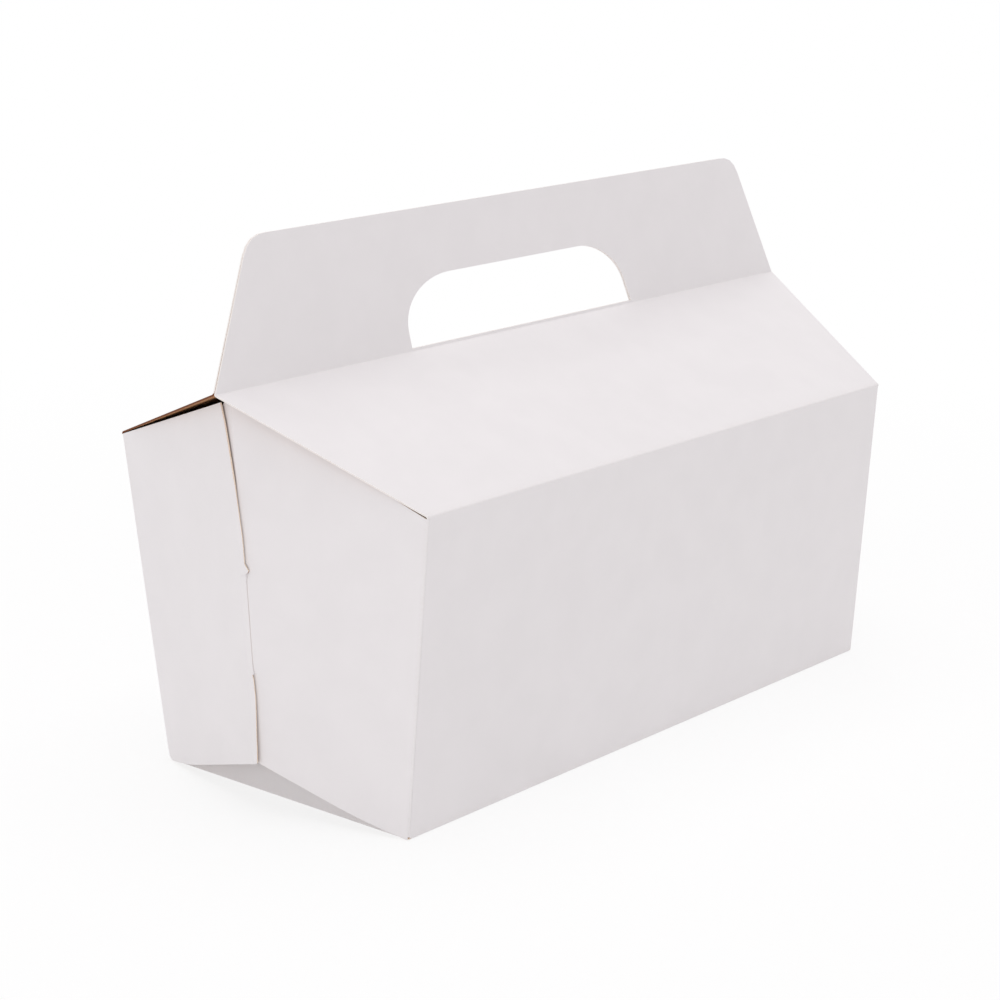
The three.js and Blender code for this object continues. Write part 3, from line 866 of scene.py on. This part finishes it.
def addHandle(piece, roof, grip, foldRow):
    # a strip under the hand hole, a panel beside it at each end, and one over it
    h = handle
    topHalf, slant = h["topLength"] / 2, h["height"] / gripUp[2]
    ends = [meet(roof, grip, (at(1, 0, 0), side * carton["ridgeLength"] / 2)) for side in (-1, 1)]
    corners = [onGrip(grip, side * topHalf, slant) for side in (-1, 1)]
    stops = [corner + unit(end - corner) * h["cornerReach"] for corner, end in zip(corners, ends)]
    top = roundedPath([stops[0], *corners, stops[1]], [h["cornerCurve"]] * 2, steps=10)

    def edgeX(rise):
        reach = [(end - onGrip(grip, 0, 0)) @ gripUp for end in (ends[1], stops[1])]
        return np.interp(rise, reach, [ends[1][0], stops[1][0]])

    def row(index, rise):
        return onGrip(grip, across([out[index] for out, _ in holeSides], edgeX(rise)), rise)

    piece.add(np.stack([foldRow, row(0, handHole["bottom"])]), grip[0], edge="handleEdge")
    for side, (out, rise) in zip((-1, 1), holeSides):
        columns = side * np.linspace(out, edgeX(rise), besideHole + 1, axis=1)
        piece.add(onGrip(grip, columns, rise[:, None]), grip[0], edge="handleEdge")
    low = row(-1, handHole["height"])
    high = resample(top, (ridgeX / ridgeX[-1] + 1) / 2)
    left, right = (along(low[i], high[i], even(17)) for i in (0, -1))
    piece.add(coonsPatch(low, high, left, right), grip[0], edge="handleEdge")


def lidHalf(wall):
    # columns run from the eave over the ridge to the handle's top, so each one is the same strip of the blank
    piece = BlankPiece()
    radius = carton["creaseRadius"]
    roof, grip = roofPlane[wall], handlePlane(wall)

    # eave crease, part of the tray at its lower side and of the lid at its upper one
    eaveX = ridgeX * carton["length"] / carton["ridgeLength"]
    eaveLine = eave(1, wall) * at(0, 1, 1) + eaveX[:, None] * at(1, 0, 0)
    eaveRows, inwards = foldRows(wallPlane[wall], roof, eaveLine, radius)
    piece.add(eaveRows, inwards, fold=1)

    foldLine = np.stack([meet(roof, grip, (at(1, 0, 0), x)) for x in ridgeX])
    valley, inwards = foldRows(roof, grip, foldLine, radius - carton["board"], steps=8, valley=True)
    piece.add(valley, inwards, fold=0.6)

    left, right = (along(eaveRows[-1][i], valley[0][i], even(31)) for i in (0, -1))
    roofGrid = coonsPatch(eaveRows[-1], valley[0], left, right)
    piece.add(swollen(roofGrid, roof[0], bulge["roof"]), roof[0])
    addHandle(piece, roof, grip, valley[-1])

    name = f"{wall}_lid"
    board = piece.build(f"{name}_board", boardFinish[wall])
    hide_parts(name)
    if wall == "front":
        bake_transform(board)
    else:
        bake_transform(board)


for wall in walls:
    lidHalf(wall)

studio = {
    "floorColour": "#FDFDFD",
    "floorSize": 6.0,  # metres
    "whiteFrom": 0.22,  # metres from the carton's middle, where the floor starts to fade into the backdrop
    "whiteTo": 0.55,
    "paperWhite": 0.8,  # how white the floor is seen before it fades
    "glow": 0.35,
    "ambientColour": (1.0, 0.972, 0.982, 1.0),
    "ambientStrength": 0.68,
}


def seenDirectly(tree):
    # 1 for the camera's own rays and for those through something clear or off something glossy, otherwise 0
    rays = addNode(tree, "ShaderNodeLightPath").outputs
    seen = mathNode(tree, "MAXIMUM", rays["Is Camera Ray"], rays["Is Transmission Ray"])
    return mathNode(tree, "MAXIMUM", seen, rays["Is Glossy Ray"])


def mixShaders(tree, factor, plain, white):
    mixed = addNode(tree, "ShaderNodeMixShader", links={0: factor, 1: plain.outputs[0], 2: white.outputs[0]})
    return mixed.outputs[0]


def studioFloor():
    # a sheet of white studio paper that fades into a white backdrop
    half = studio["floorSize"] / 2
    corners = [(-half, -half, 0), (half, -half, 0), (half, half, 0), (-half, half, 0)]
    mesh = bpy.data.meshes.new("floor")
    mesh.from_pydata(corners, [], [(0, 1, 2, 3)])
    floor = bpy.data.objects.new("floor", mesh)
    bpy.context.scene.collection.objects.link(floor)
    material, tree = newMaterial("studioPaper")
    distance = addNode(tree, "ShaderNodeVectorMath", {"operation": "LENGTH"}, {0: objectPlace(tree)})
    span = {
        "From Min": studio["whiteFrom"],
        "From Max": studio["whiteTo"],
        "To Min": studio["paperWhite"],
        "To Max": 1.0,
    }
    fade = addNode(tree, "ShaderNodeMapRange", span, {"Value": distance.outputs["Value"]})
    # the table is lit from below, so it glows a little for every other ray too
    glow = mathNode(tree, "MAXIMUM", seenDirectly(tree), studio["glow"])
    factor = mathNode(tree, "MULTIPLY", fade.outputs["Result"], glow)
    paper = addNode(tree, "ShaderNodeBsdfDiffuse", {"Color": linear(studio["floorColour"])})
    backdrop = addNode(tree, "ShaderNodeEmission", {"Color": grey(1), "Strength": 1.0})
    surface = mixShaders(tree, factor, paper, backdrop)
    addNode(tree, "ShaderNodeOutputMaterial", links={"Surface": surface})
    mesh.materials.append(material)


def studioWorld():
    # soft light from all round; the camera sees it as white
    world = bpy.data.worlds.new("studio")
    world.use_nodes = True
    tree = world.node_tree
    tree.nodes.clear()
    ambient = {"Color": studio["ambientColour"], "Strength": studio["ambientStrength"]}
    soft = addNode(tree, "ShaderNodeBackground", ambient)
    backdrop = addNode(tree, "ShaderNodeBackground", {"Color": grey(1), "Strength": 1.0})
    surface = mixShaders(tree, seenDirectly(tree), soft, backdrop)
    addNode(tree, "ShaderNodeOutputWorld", links={"Surface": surface})
    bpy.context.scene.world = world


def stand(name, data, right, up, back, place):
    # an object whose own axes are turned to right, up and back; lamps and cameras look away from back
    item = bpy.data.objects.new(name, data)
    pose = np.eye(4)
    pose[:3, :3] = np.stack([right, up, back], axis=1)
    pose[:3, 3] = place
    item.matrix_world = Matrix(pose.tolist())
    bpy.context.scene.collection.objects.link(item)
    return item


# Places and sizes are in metres, powers in watts.
softBoxes = [
    {"name": "overhead", "place": (0.1, 0.1, 1.6), "aim": (0, 0, 0.08), "size": 1.4, "power": 8.6},
    {"name": "frontLeft", "place": (-1.5, -0.9, 0.9), "aim": (0, 0, 0.08), "size": 1.2, "power": 2.6},
    {"name": "lowLeft", "place": (-1.5, 0.15, 0.28), "aim": (-0.1, 0, 0.05), "size": 0.5, "power": 1.0},
]


def softBox(spec):
    lamp = bpy.data.lights.new(spec["name"], "AREA")
    lamp.shape = "SQUARE"
    lamp.size = spec["size"]
    lamp.energy = spec["power"]
    back = unit(np.array(spec["place"]) - np.array(spec["aim"]))
    steep = abs(back[2]) > 0.9
    right = unit(np.cross(at(0, 1, 0) if steep else at(0, 0, 1), back))
    stand(spec["name"], lamp, right, np.cross(back, right), back, spec["place"])


shot = {
    "azimuth": -51.805,  # degrees round from the front wall, towards the left end
    "elevation": 13.255,
    "roll": 1.492,
    "distance": 896.7,  # mm from the target
    "target": (0.0, 0.0, 100.0),
    "focal": 2730.82,  # pixels of a 1000 pixel picture
    "centreRight": 40.667,  # pixels from the picture's middle to the lens axis
    "centreUp": 87.463,
    "picture": 1000.0,
}


def photographCamera():
    # looks back along azimuth and elevation at the target, rolled about the line of sight
    spec = shot
    azimuth, elevation, roll = (math.radians(spec[k]) for k in ("azimuth", "elevation", "roll"))
    flat = math.cos(elevation)
    back = at(math.sin(azimuth) * flat, -math.cos(azimuth) * flat, math.sin(elevation))
    sideways = at(math.cos(azimuth), math.sin(azimuth), 0)
    upright = np.cross(back, sideways)
    right = sideways * math.cos(roll) + upright * math.sin(roll)
    up = upright * math.cos(roll) - sideways * math.sin(roll)
    camera = bpy.data.cameras.new("camera")
    camera.sensor_width = 36
    camera.sensor_fit = "HORIZONTAL"
    camera.lens = camera.sensor_width * spec["focal"] / spec["picture"]
    camera.shift_x = -spec["centreRight"] / spec["picture"]
    camera.shift_y = -spec["centreUp"] / spec["picture"]
    camera.clip_start = 0.01
    place = (np.array(spec["target"]) + back * spec["distance"]) * metres
    bpy.context.scene.camera = stand("camera", camera, right, up, back, place)


studioFloor()
studioWorld()
for spec in softBoxes:
    softBox(spec)
photographCamera()
bpy.context.scene.view_settings.view_transform = "Standard"
print("studio made")
